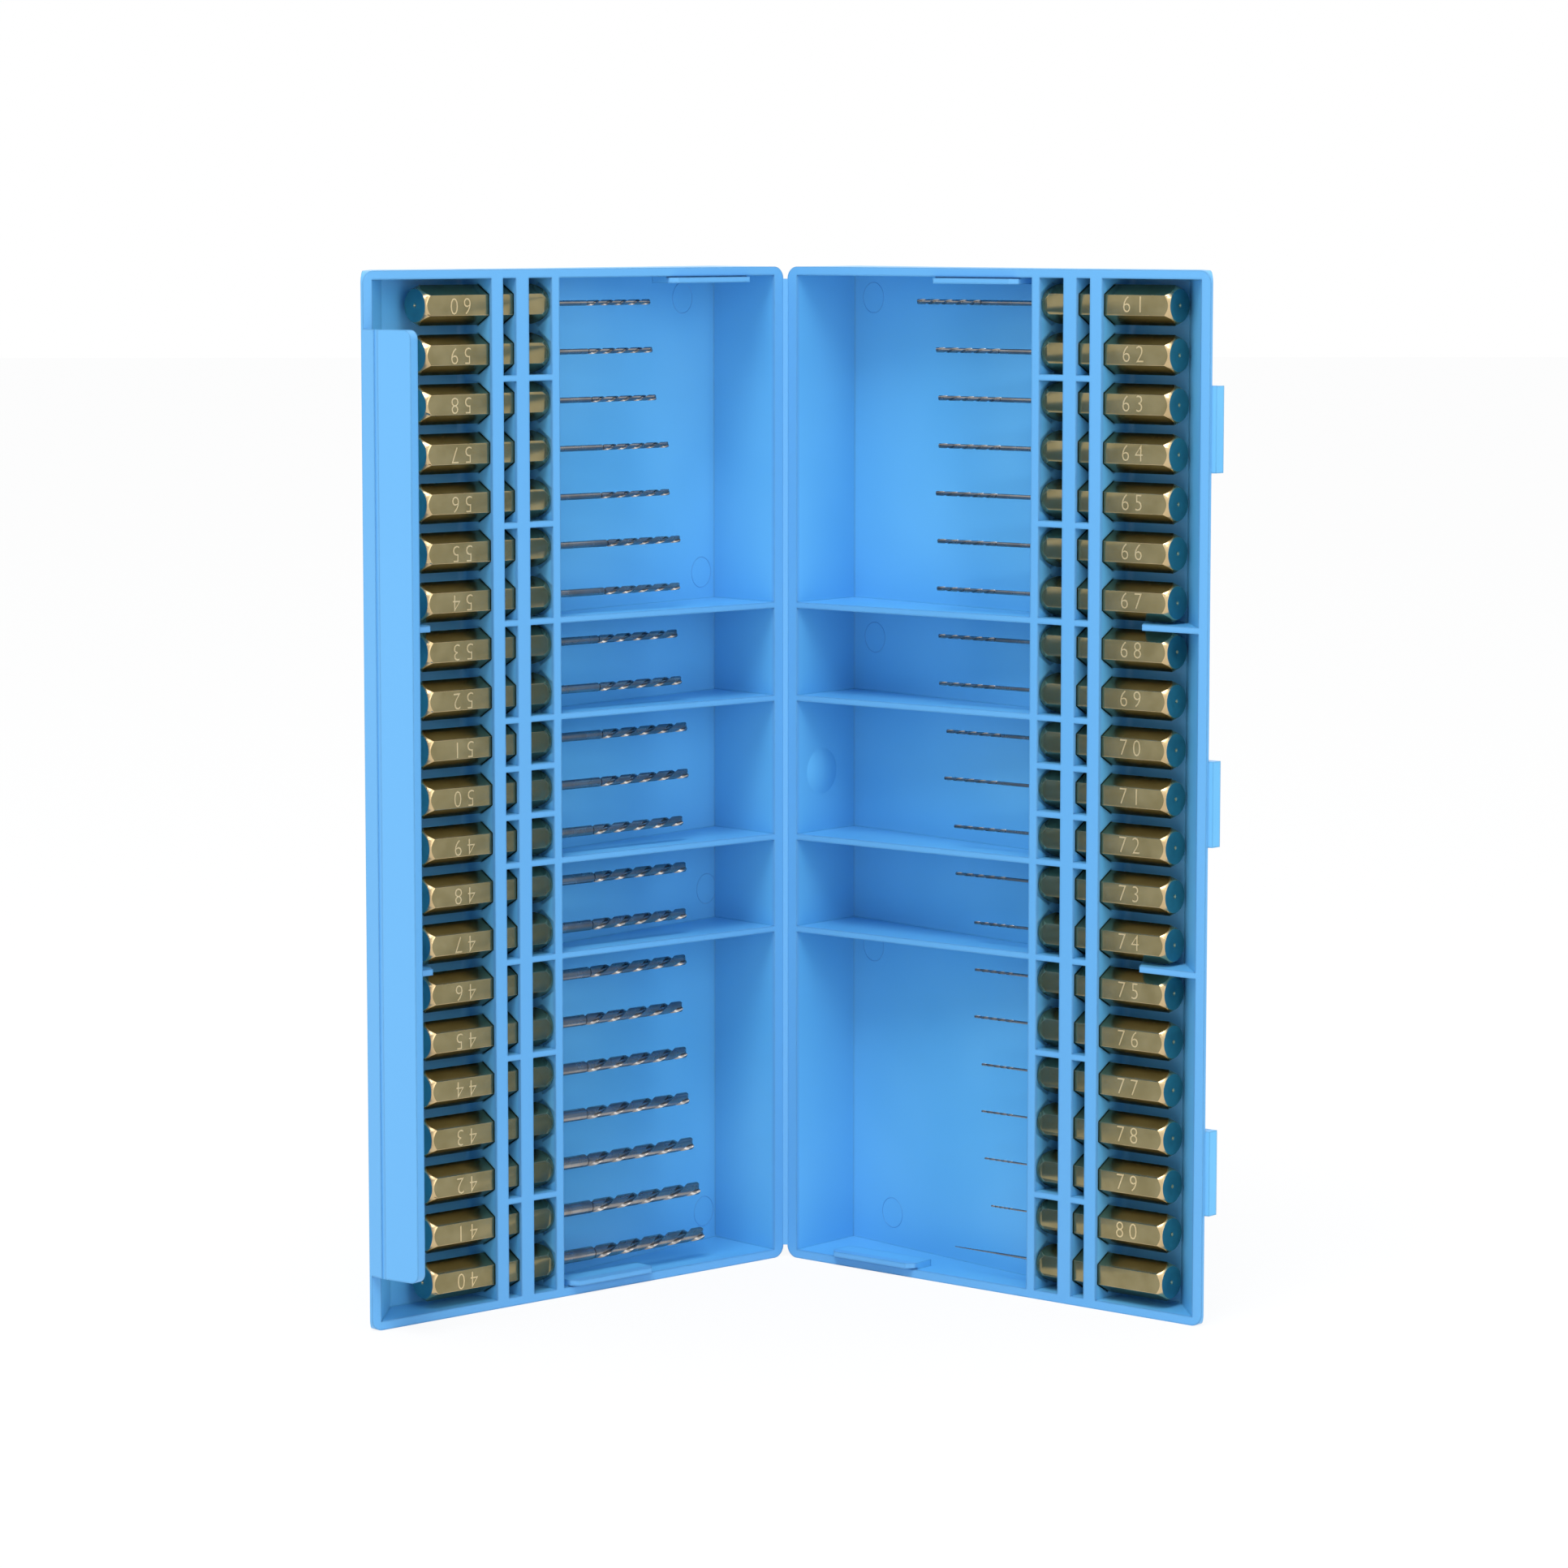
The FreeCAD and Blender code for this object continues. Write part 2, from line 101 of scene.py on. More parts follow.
def joint_point(name: str) -> Vector:
    """Point on a joint's upright line at the height of the table.

    Args:
        name: Name of the joint.

    Returns:
        The point in metres.
    """
    joint = next(j for j in frame["joints"] if j["name"] == name)
    return Vector((joint["pos_m"][0], joint["pos_m"][1], 0.0))


# Helpers for modelling by operators


def deselect_all() -> None:
    """Leave edit mode and clear the selection."""
    if bpy.context.object and bpy.context.object.mode != "OBJECT":
        bpy.ops.object.mode_set(mode="OBJECT")
    bpy.ops.object.select_all(action="DESELECT")


def activate(obj: bpy.types.Object) -> None:
    """Make one object the only selected and active one.

    Args:
        obj: The object to work on.
    """
    deselect_all()
    obj.select_set(True)
    bpy.context.view_layer.objects.active = obj


def select_faces(obj: bpy.types.Object, test: Callable[[bpy.types.MeshPolygon], bool]) -> None:
    """Select faces in object mode and return to edit mode in face selection.

    Args:
        obj: Mesh object in edit mode.
        test: Function of a polygon that says whether it is selected.
    """
    bpy.ops.mesh.select_mode(type="FACE")
    bpy.ops.mesh.select_all(action="DESELECT")
    bpy.ops.object.mode_set(mode="OBJECT")
    for face in obj.data.polygons:
        face.select = bool(test(face))
    bpy.ops.object.mode_set(mode="EDIT")


def select_points(obj: bpy.types.Object, test: Callable[[Vector], bool]) -> None:
    """Select vertices by place and return to edit mode in vertex selection.

    Args:
        obj: Mesh object in edit mode.
        test: Function of a coordinate that says whether it is selected.
    """
    bpy.ops.mesh.select_mode(type="VERT")
    bpy.ops.mesh.select_all(action="DESELECT")
    bpy.ops.object.mode_set(mode="OBJECT")
    for point in obj.data.vertices:
        point.select = bool(test(point.co))
    bpy.ops.object.mode_set(mode="EDIT")


def extrude(run: tuple[float, float, float], scale: tuple[float, float, float]) -> None:
    """Extrude what is selected in edit mode, then scale its new end.

    Args:
        run: Way and length of the extrusion.
        scale: Size of the end over its start, on each axis.
    """
    bpy.ops.mesh.extrude_region_move(TRANSFORM_OT_translate={"value": run})
    bpy.ops.transform.resize(value=scale)


def apply_modifiers(obj: bpy.types.Object) -> None:
    """Apply every modifier of an object, in order.

    Args:
        obj: The object whose modifiers become its mesh.
    """
    activate(obj)
    for modifier in list(obj.modifiers):
        bpy.ops.object.modifier_apply(modifier=modifier.name)


def settle(obj: bpy.types.Object) -> None:
    """Move the object's own place, turn and scale into its mesh.

    Args:
        obj: Mesh object that has just been modelled.
    """
    obj.data.transform(obj.matrix_basis)
    obj.matrix_basis = Matrix.Identity(4)


def outward_normals(obj: bpy.types.Object) -> None:
    """Recalculate the normals of a closed mesh so that they point outwards.

    Args:
        obj: The mesh object.
    """
    activate(obj)
    bpy.ops.object.mode_set(mode="EDIT")
    bpy.ops.mesh.select_all(action="SELECT")
    bpy.ops.mesh.normals_make_consistent(inside=False)
    bpy.ops.object.mode_set(mode="OBJECT")


def smooth_below(obj: bpy.types.Object, angle: float) -> None:
    """Shade smooth where faces meet below an angle.

    Args:
        obj: The mesh object.
        angle: Limit in degrees.
    """
    activate(obj)
    bpy.ops.object.shade_smooth_by_angle(angle=math.radians(angle))


def paint(obj: bpy.types.Object, *materials: bpy.types.Material) -> None:
    """Give an object these materials, in place of any it has.

    Args:
        obj: The object to paint.
        materials: Materials in slot order.
    """
    obj.data.materials.clear()
    for material in materials:
        obj.data.materials.append(material)


def join(first: bpy.types.Object, *others: bpy.types.Object) -> None:
    """Join objects into the first of them.

    Args:
        first: The object that takes in the others.
        others: The objects that it takes in.
    """
    activate(first)
    for other in others:
        other.select_set(True)
    bpy.ops.object.join()


def copy_placed(master: bpy.types.Object, name: str, place: Matrix) -> bpy.types.Object:
    """Copy a master with its own mesh, moved into place in the mesh itself.

    Args:
        master: Modelled object, in millimetres about its own origin.
        name: Name of the copy.
        place: Matrix from the master's millimetres to the frame's metres.

    Returns:
        The new object, at the origin.
    """
    piece = bpy.data.objects.new(name, master.data.copy())
    piece.data.name = name
    bpy.context.scene.collection.objects.link(piece)
    piece.data.transform(place)
    return piece


def discard(*objects: bpy.types.Object) -> None:
    """Delete masters that have been copied.

    Args:
        objects: The objects to delete.
    """
    for obj in objects:
        bpy.data.objects.remove(obj, do_unlink=True)


# Helpers for shaders


def set_inputs(node: bpy.types.Node, **inputs: float | Colour) -> None:
    """Set a node's inputs by name.

    Args:
        node: The node.
        inputs: Input values, with underscores for spaces in their names.
    """
    for name, value in inputs.items():
        node.inputs[name.replace("_", " ")].default_value = value


def node_of(tree: bpy.types.NodeTree, kind: str, **inputs: float | Colour) -> bpy.types.Node:
    """Add a shader node and set its inputs by name.

    Args:
        tree: Node tree to add to.
        kind: Blender's name of the node type.
        inputs: Input values, with underscores for spaces in their names.

    Returns:
        The new node.
    """
    node = tree.nodes.new(kind)
    set_inputs(node, **inputs)
    return node


def surface_group() -> bpy.types.NodeTree:
    """Shared effect: fine grain and slow colour drift.

    Returns:
        Node group that passes on a normal with its grain added, and the drift.
    """
    name = "moulded_surface"
    if name in bpy.data.node_groups:
        return bpy.data.node_groups[name]
    tree = bpy.data.node_groups.new(name, "ShaderNodeTree")
    sockets, links = tree.interface, tree.links
    defaults = {"Grain Scale": 900.0, "Grain Height": 0.05, "Drift Scale": 25.0}
    for label, default in defaults.items():
        socket = sockets.new_socket(label, in_out="INPUT", socket_type="NodeSocketFloat")
        socket.default_value = default
    sockets.new_socket("Normal", in_out="INPUT", socket_type="NodeSocketVector")
    sockets.new_socket("Normal", in_out="OUTPUT", socket_type="NodeSocketVector")
    sockets.new_socket("Drift", in_out="OUTPUT", socket_type="NodeSocketFloat")
    start, end = tree.nodes.new("NodeGroupInput"), tree.nodes.new("NodeGroupOutput")
    place = tree.nodes.new("ShaderNodeTexCoord")
    grain = node_of(tree, "ShaderNodeTexNoise", Detail=3.0)
    bump = node_of(tree, "ShaderNodeBump", Distance=0.0002)
    drift = node_of(tree, "ShaderNodeTexNoise", Detail=2.0)
    links.new(start.outputs["Grain Scale"], grain.inputs["Scale"])
    links.new(start.outputs["Grain Height"], bump.inputs["Strength"])
    links.new(start.outputs["Drift Scale"], drift.inputs["Scale"])
    links.new(place.outputs["Object"], grain.inputs["Vector"])
    links.new(place.outputs["Object"], drift.inputs["Vector"])
    links.new(grain.outputs["Fac"], bump.inputs["Height"])
    links.new(start.outputs["Normal"], bump.inputs["Normal"])
    links.new(bump.outputs["Normal"], end.inputs["Normal"])
    links.new(drift.outputs["Fac"], end.inputs["Drift"])
    return tree


def surface_node(tree: bpy.types.NodeTree, **inputs: float) -> bpy.types.Node:
    """Place the shared surface effect in a material.

    Args:
        tree: The material's node tree.
        inputs: Values of the effect, with underscores for spaces in their names.

    Returns:
        The group node.
    """
    group = tree.nodes.new("ShaderNodeGroup")
    group.node_tree = surface_group()
    set_inputs(group, **inputs)
    return group


def drifting_tone(tree: bpy.types.NodeTree, drift: bpy.types.NodeSocket,
                  span: tuple[float, float], tones: tuple[Colour, Colour]) -> bpy.types.NodeSocket:
    """Colour that drifts slowly between two tones.

    Args:
        tree: The material's node tree.
        drift: Output of the surface effect.
        span: Values of the drift at which each tone is full.
        tones: The two colours.

    Returns:
        Socket with the colour.
    """
    ramp = tree.nodes.new("ShaderNodeValToRGB")
    for stop, position, tone in zip(ramp.color_ramp.elements, span, tones):
        stop.position, stop.color = position, tone
    tree.links.new(drift, ramp.inputs["Fac"])
    return ramp.outputs["Color"]


def drifting_roughness(tree: bpy.types.NodeTree, drift: bpy.types.NodeSocket,
                       middle: float, haze: tuple[float, float]) -> bpy.types.NodeSocket:
    """Roughness that drifts slowly about a middle value.

    Args:
        tree: The material's node tree.
        drift: Output of the surface effect.
        middle: The roughness that the haze is added to.
        haze: Least and most that is added.

    Returns:
        Socket with the roughness.
    """
    spread = node_of(tree, "ShaderNodeMapRange", From_Min=DRIFT_SPAN[0], From_Max=DRIFT_SPAN[1],
                     To_Min=haze[0], To_Max=haze[1])
    total = tree.nodes.new("ShaderNodeMath")
    total.inputs[1].default_value = middle
    tree.links.new(drift, spread.inputs["Value"])
    tree.links.new(spread.outputs["Result"], total.inputs[0])
    return total.outputs["Value"]


def seen_rays(tree: bpy.types.NodeTree) -> bpy.types.NodeSocket:
    """Mask of the rays that see the background: from the camera, a reflection or through glass.

    Args:
        tree: Node tree of a floor or a world.

    Returns:
        Socket that is 1 for these rays and 0 for the rest.
    """
    path = tree.nodes.new("ShaderNodeLightPath")
    mask = path.outputs["Is Camera Ray"]
    for ray in ("Is Glossy Ray", "Is Transmission Ray"):
        either = tree.nodes.new("ShaderNodeMath")
        either.operation = "MAXIMUM"
        tree.links.new(mask, either.inputs[0])
        tree.links.new(path.outputs[ray], either.inputs[1])
        mask = either.outputs["Value"]
    return mask


def blank_material(name: str) -> tuple[bpy.types.Material, bpy.types.Node]:
    """New node material that holds only its Principled shader and output.

    Args:
        name: Name of the material.

    Returns:
        The material and its Principled node.
    """
    material = bpy.data.materials.new(name)
    material.use_nodes = True
    return material, material.node_tree.nodes["Principled BSDF"]


@dataclass(frozen=True)
class Plastic:
    """Satin moulded polypropylene with a painted glow: its rims are painted paler where light comes
    through the thin plastic.

    The rim plane is given by the direction down into the tray and its distance from the origin.
    Where no direction is given, every point counts as a rim.
    """

    name: str
    deep: Colour
    body: Colour
    roughness: float = 0.34
    edge: float = 0.0005
    grain: float = 0.06
    down: tuple[float, float, float] = (0.0, 0.0, 0.0)
    plane: float = 1.0
    rim_depth: float = 0.0011
    edge_samples: int = 3
    sheen: float = 0.3
    haze: tuple[float, float] = (-0.04, 0.05)

    def rim_share(self, tree: bpy.types.NodeTree) -> bpy.types.NodeSocket:
        """How much a point gets the painted rim glow, from its depth below the rim plane.

        Args:
            tree: The material's node tree.

        Returns:
            Socket that is 1 on the rims and 0 inside the tray.
        """
        place = tree.nodes.new("ShaderNodeTexCoord")
        depth = tree.nodes.new("ShaderNodeVectorMath")
        depth.operation = "DOT_PRODUCT"
        depth.inputs[1].default_value = self.down
        share = node_of(tree, "ShaderNodeMapRange", From_Min=self.plane + self.rim_depth / 2,
                        From_Max=self.plane + self.rim_depth, To_Min=1.0, To_Max=0.0)
        tree.links.new(place.outputs["Object"], depth.inputs[0])
        tree.links.new(depth.outputs["Value"], share.inputs["Value"])
        return share.outputs["Result"]

    def with_rims(self, tree: bpy.types.NodeTree,
                  tone: bpy.types.NodeSocket) -> bpy.types.NodeSocket:
        """Paint a paler glow on the rims, standing in for light through the thin plastic.

        Args:
            tree: The material's node tree.
            tone: Colour inside the tray.

        Returns:
            Socket with the colour all over.
        """
        pale = tree.nodes.new("ShaderNodeMix")
        pale.data_type = "RGBA"
        ends = {socket.identifier: socket for socket in (*pale.inputs, *pale.outputs)}
        # The painted glow colour, full on the rims.
        ends["B_Color"].default_value = PAINTED_GLOW_BLUE
        tree.links.new(self.rim_share(tree), ends["Factor_Float"])
        tree.links.new(tone, ends["A_Color"])
        return ends["Result_Color"]

    def material(self) -> bpy.types.Material:
        """Build the material.

        Returns:
            The finished plastic.
        """
        material, shader = blank_material(self.name)
        tree, links = material.node_tree, material.node_tree.links
        group = surface_node(tree, Grain_Height=self.grain)
        drift = group.outputs["Drift"]
        edge = node_of(tree, "ShaderNodeBevel", Radius=self.edge)
        edge.samples = self.edge_samples
        tone = drifting_tone(tree, drift, DRIFT_SPAN, (self.deep, self.body))
        rough = drifting_roughness(tree, drift, self.roughness, self.haze)
        links.new(edge.outputs["Normal"], group.inputs["Normal"])
        links.new(self.with_rims(tree, tone), shader.inputs["Base Color"])
        links.new(rough, shader.inputs["Roughness"])
        links.new(group.outputs["Normal"], shader.inputs["Normal"])
        set_inputs(shader, Specular_IOR_Level=self.sheen)
        return material


@dataclass(frozen=True)
class Metal:
    """Bare or plated metal with handling marks and a cloudy tarnish."""

    name: str
    clean: Colour
    tarnish: Colour
    roughness: float
    cloud: float = 260.0
    scratch: float = 0.05
    scratch_scale: float = 2600.0
    tone_span: tuple[float, float] = (0.35, 0.65)
    haze: tuple[float, float] = (-0.02, 0.03)

    def material(self) -> bpy.types.Material:
        """Build the material.

        Returns:
            The finished metal.
        """
        material, shader = blank_material(self.name)
        tree, links = material.node_tree, material.node_tree.links
        group = surface_node(tree, Grain_Scale=self.scratch_scale, Grain_Height=self.scratch,
                             Drift_Scale=self.cloud)
        drift = group.outputs["Drift"]
        tone = drifting_tone(tree, drift, self.tone_span, (self.clean, self.tarnish))
        rough = drifting_roughness(tree, drift, self.roughness, self.haze)
        links.new(tone, shader.inputs["Base Color"])
        links.new(rough, shader.inputs["Roughness"])
        links.new(group.outputs["Normal"], shader.inputs["Normal"])
        set_inputs(shader, Metallic=1.0)
        return material


SHANK_BRASS = Metal("shank_brass", (0.305, 0.262, 0.140, 1), (0.262, 0.220, 0.108, 1), 0.24)
# Cream brass on the tail chamfer and the softened edges: a painted highlight along the cut edges.
BRASS_EDGE_HIGHLIGHT = Metal("brass_painted_edge_highlight", (0.66, 0.50, 0.28, 1), (0.58, 0.43, 0.23, 1), 0.26)
# The stamped number is real; its bright cream colour is a painted highlight on the stamped strokes.
NUMBER_BRASS_HIGHLIGHT = Metal("stamped_number_painted_highlight", (0.84, 0.68, 0.40, 1), (0.78, 0.62, 0.35, 1), 0.42)
# Teal on the turned end face: a painted reflection of the blue tray in the brass.
END_FACE_BLUE_REFLECTION = Metal("turned_end_painted_reflection", (0.125, 0.36, 0.36, 1), (0.105, 0.31, 0.32, 1), 0.45)
DRILL_STEEL = Metal("drill_steel", (0.36, 0.345, 0.33, 1), (0.26, 0.245, 0.235, 1), 0.27)


@dataclass(frozen=True)
class TrayPlace:
    """Where the two trays stand: their hinge from the frame, and where a bit sits in them."""

    turn: float = 41.15
    rail_c_end: float = 57.2
    rail_shift: float = 3.1
    nose_pocket: float = 0.5
    seat_gap: float = 0.15
    pitch: float = 8.89
    case_height: float = 190.5
    sockets: int = 21
    axis_depth: float = 4.125

    def hinge(self) -> Vector:
        """Point on the hinge line at the height of the table, in metres."""
        return joint_point("tray_fold")

    def axes(self, side: Side) -> tuple[Vector, Vector]:
        """Directions away from the hinge and down into the tray.

        Args:
            side: The tray.

        Returns:
            The two unit vectors.
        """
        c, s = math.cos(math.radians(self.turn)), math.sin(math.radians(self.turn))
        return Vector((side.value * c, -s, 0)), Vector((side.value * s, c, 0))

    def point(self, side: Side, u: float, w: float, z: float) -> Vector:
        """Point of a tray in the frame.

        Args:
            side: The tray.
            u: Distance from the hinge line, mm.
            w: Depth below the rim plane, mm.
            z: Height, mm.

        Returns:
            The point in metres.
        """
        out, down = self.axes(side)
        return self.hinge() + (out * u + down * w + Vector((0, 0, z))) * MM

    def socket_height(self, socket: int) -> float:
        """Height of a socket counted from the top, mm."""
        top = (self.case_height + (self.sockets - 1) * self.pitch) / 2
        return top - socket * self.pitch

    def bit_matrix(self, side: Side, socket: int) -> Matrix:
        """Matrix of a bit: x from the nose to the tail, z out of the tray, y up its numbers.

        Args:
            side: The tray.
            socket: Socket number from the top, from zero.

        Returns:
            Matrix from the bit's millimetres to the frame's metres.
        """
        out, down = self.axes(side)
        shift = self.rail_shift if side is Side.CATCH else 0
        nose = self.rail_c_end + shift - self.nose_pocket + self.seat_gap
        origin = self.point(side, nose, self.axis_depth, self.socket_height(socket))
        up = Vector((0, 0, side.value))
        turn = Matrix((out, up, -down)).transposed().to_4x4()
        return Matrix.Translation(origin) @ turn @ Matrix.Scale(MM, 4)


@dataclass
class Finishes:
    """Every material of the case, built once."""

    place: TrayPlace
    deep: Colour = (0.112, 0.438, 0.790, 1)
    body: Colour = (0.150, 0.503, 0.853, 1)
    thin_roughness: float = 0.3
    thin_edge: float = 0.0001
    thin_grain: float = 0.02

    def __post_init__(self) -> None:
        """Build the materials."""
        self.trays = {side: self.tray_plastic(side) for side in Side}
        # The hinge strip and the mould marks are painted all over with the pale rim glow, a painted
        # light.
        self.hinge = self.thin_plastic("hinge_plastic_painted_glow")
        self.mark = self.thin_plastic("mould_mark_painted_glow")
        self.brass = SHANK_BRASS.material()
        self.bright_brass = BRASS_EDGE_HIGHLIGHT.material()
        self.stamp = NUMBER_BRASS_HIGHLIGHT.material()
        self.end_face = END_FACE_BLUE_REFLECTION.material()
        self.steel = DRILL_STEEL.material()

    def tray_plastic(self, side: Side) -> bpy.types.Material:
        """Plastic of one tray, its rims painted paler than its floor as a painted glow of light
        through the thin plastic.

        Args:
            side: The tray.

        Returns:
            The material.
        """
        name = f"blue_polypropylene_{side.name.lower()}"
        down = self.place.axes(side)[1]
        plane = down.dot(self.place.hinge())
        return Plastic(name, self.deep, self.body, down=tuple(down), plane=plane).material()

    def thin_plastic(self, name: str) -> bpy.types.Material:
        """Plastic of a thin piece, painted all over with the pale rim glow that stands in for light
        through thin plastic.

        Args:
            name: Name of the material.

        Returns:
            The material.
        """
        return Plastic(name, PAINTED_GLOW_BLUE, PAINTED_GLOW_BLUE, self.thin_roughness, self.thin_edge,
                       self.thin_grain).material()


@dataclass(frozen=True)
class Shank:
    """Quarter inch hex shank with a turned tail and a crimped nose, along x from its nose."""

    length: float = 28.9
    flats: float = 6.35
    tail_radius: float = 3.0
    tail_chamfer: float = 1.3
    nose_radius: float = 2.85
    crimp_radius: float = 3.3
    crimp: float = 0.9
    nose_length: float = 2.4
    dimple_radius: float = 0.38
    dimple_depth: float = 0.3
    dimple_floor: float = 0.2
    edge_width: float = 0.12
    edge_steps: int = 2
    edge_angle: float = 22.0
    smooth_angle: float = 25.0
    sides: int = 6
    round_sides: int = 48
    bar_spare: float = 2.0
    envelope_spare: float = 0.1
    tail_slack: float = 0.05
    cap_facing: float = 0.99
    end_facing: float = 0.9
    cut_facing: float = 0.1

    def corner_radius(self) -> float:
        """Distance of the hexagon's corners from the axis, mm."""
        return self.flats / 2 / math.cos(math.pi / self.sides)

    def hex_bar(self) -> bpy.types.Object:
        """Hexagonal bar, a little longer than the shank at both ends.

        Returns:
            The bar, two of its flats square to z.
        """
        bpy.ops.mesh.primitive_cylinder_add(
            vertices=self.sides, radius=self.corner_radius(), depth=self.length + self.bar_spare)
        bar = bpy.context.object
        bar.matrix_basis = Matrix.Translation((self.length / 2, 0, 0)) @ Z_ALONG_X
        settle(bar)
        return bar

    def round_envelope(self) -> bpy.types.Object:
        """Turned body that cuts the hexagon's corners at both ends.

        Returns:
            The body of revolution.
        """
        full = self.corner_radius() + self.envelope_spare
        straight = self.length - self.nose_length - self.tail_chamfer
        bpy.ops.mesh.primitive_cylinder_add(vertices=self.round_sides, radius=full, depth=straight)
        body = bpy.context.object
        middle = self.nose_length + straight / 2
        body.matrix_basis = Matrix.Translation((middle, 0, 0)) @ Z_ALONG_X
        settle(body)
        bpy.ops.object.mode_set(mode="EDIT")
        tail = ((self.tail_chamfer, self.tail_radius / full),
                (0, self.dimple_radius / self.tail_radius),
                (-self.dimple_depth, self.dimple_floor))
        nose = ((self.nose_length - self.crimp, self.crimp_radius / full),
                (self.crimp, self.nose_radius / self.crimp_radius))
        for way, steps in ((1, tail), (-1, nose)):
            select_faces(body, lambda face, way=way: face.normal.x * way > self.cap_facing)
            for run, share in steps:
                extrude((way * run, 0, 0), (1, share, share))
        bpy.ops.object.mode_set(mode="OBJECT")
        return body

    def face_kind(self, face: bpy.types.MeshPolygon) -> ShankFace:
        """Tell the flats from the cut edges and from the turned end.

        Args:
            face: A face of the shank.

        Returns:
            Its kind.
        """
        tail = self.length - self.tail_chamfer
        if face.normal.x > self.end_facing and face.center.x > tail:
            return ShankFace.END
        chamfer = face.center.x > tail - self.tail_slack and face.normal.x > self.cut_facing
        if chamfer or face.area < self.edge_width * self.length:
            return ShankFace.CUT
        return ShankFace.FLAT

    def master(self, finishes: Finishes) -> bpy.types.Object:
        """Model one shank and paint its flats, its cut edges with a painted highlight and its end
        face with a painted reflection.

        Args:
            finishes: The case's materials.

        Returns:
            The master, in millimetres.
        """
        deselect_all()
        bar = self.hex_bar()
        bar.name = "shank_master"
        deselect_all()
        body = self.round_envelope()
        cut = bar.modifiers.new("ends", "BOOLEAN")
        cut.operation, cut.solver, cut.object = "INTERSECT", "EXACT", body
        apply_modifiers(bar)
        discard(body)
        soft = bar.modifiers.new("edges", "BEVEL")
        soft.width, soft.segments = self.edge_width, self.edge_steps
        soft.limit_method, soft.angle_limit = "ANGLE", math.radians(self.edge_angle)
        apply_modifiers(bar)
        # Slots: flats, cut edges with painted highlight, end face with painted reflection.
        paint(bar, finishes.brass, finishes.bright_brass, finishes.end_face)
        for face in bar.data.polygons:
            face.material_index = self.face_kind(face).value
        smooth_below(bar, self.smooth_angle)
        return bar


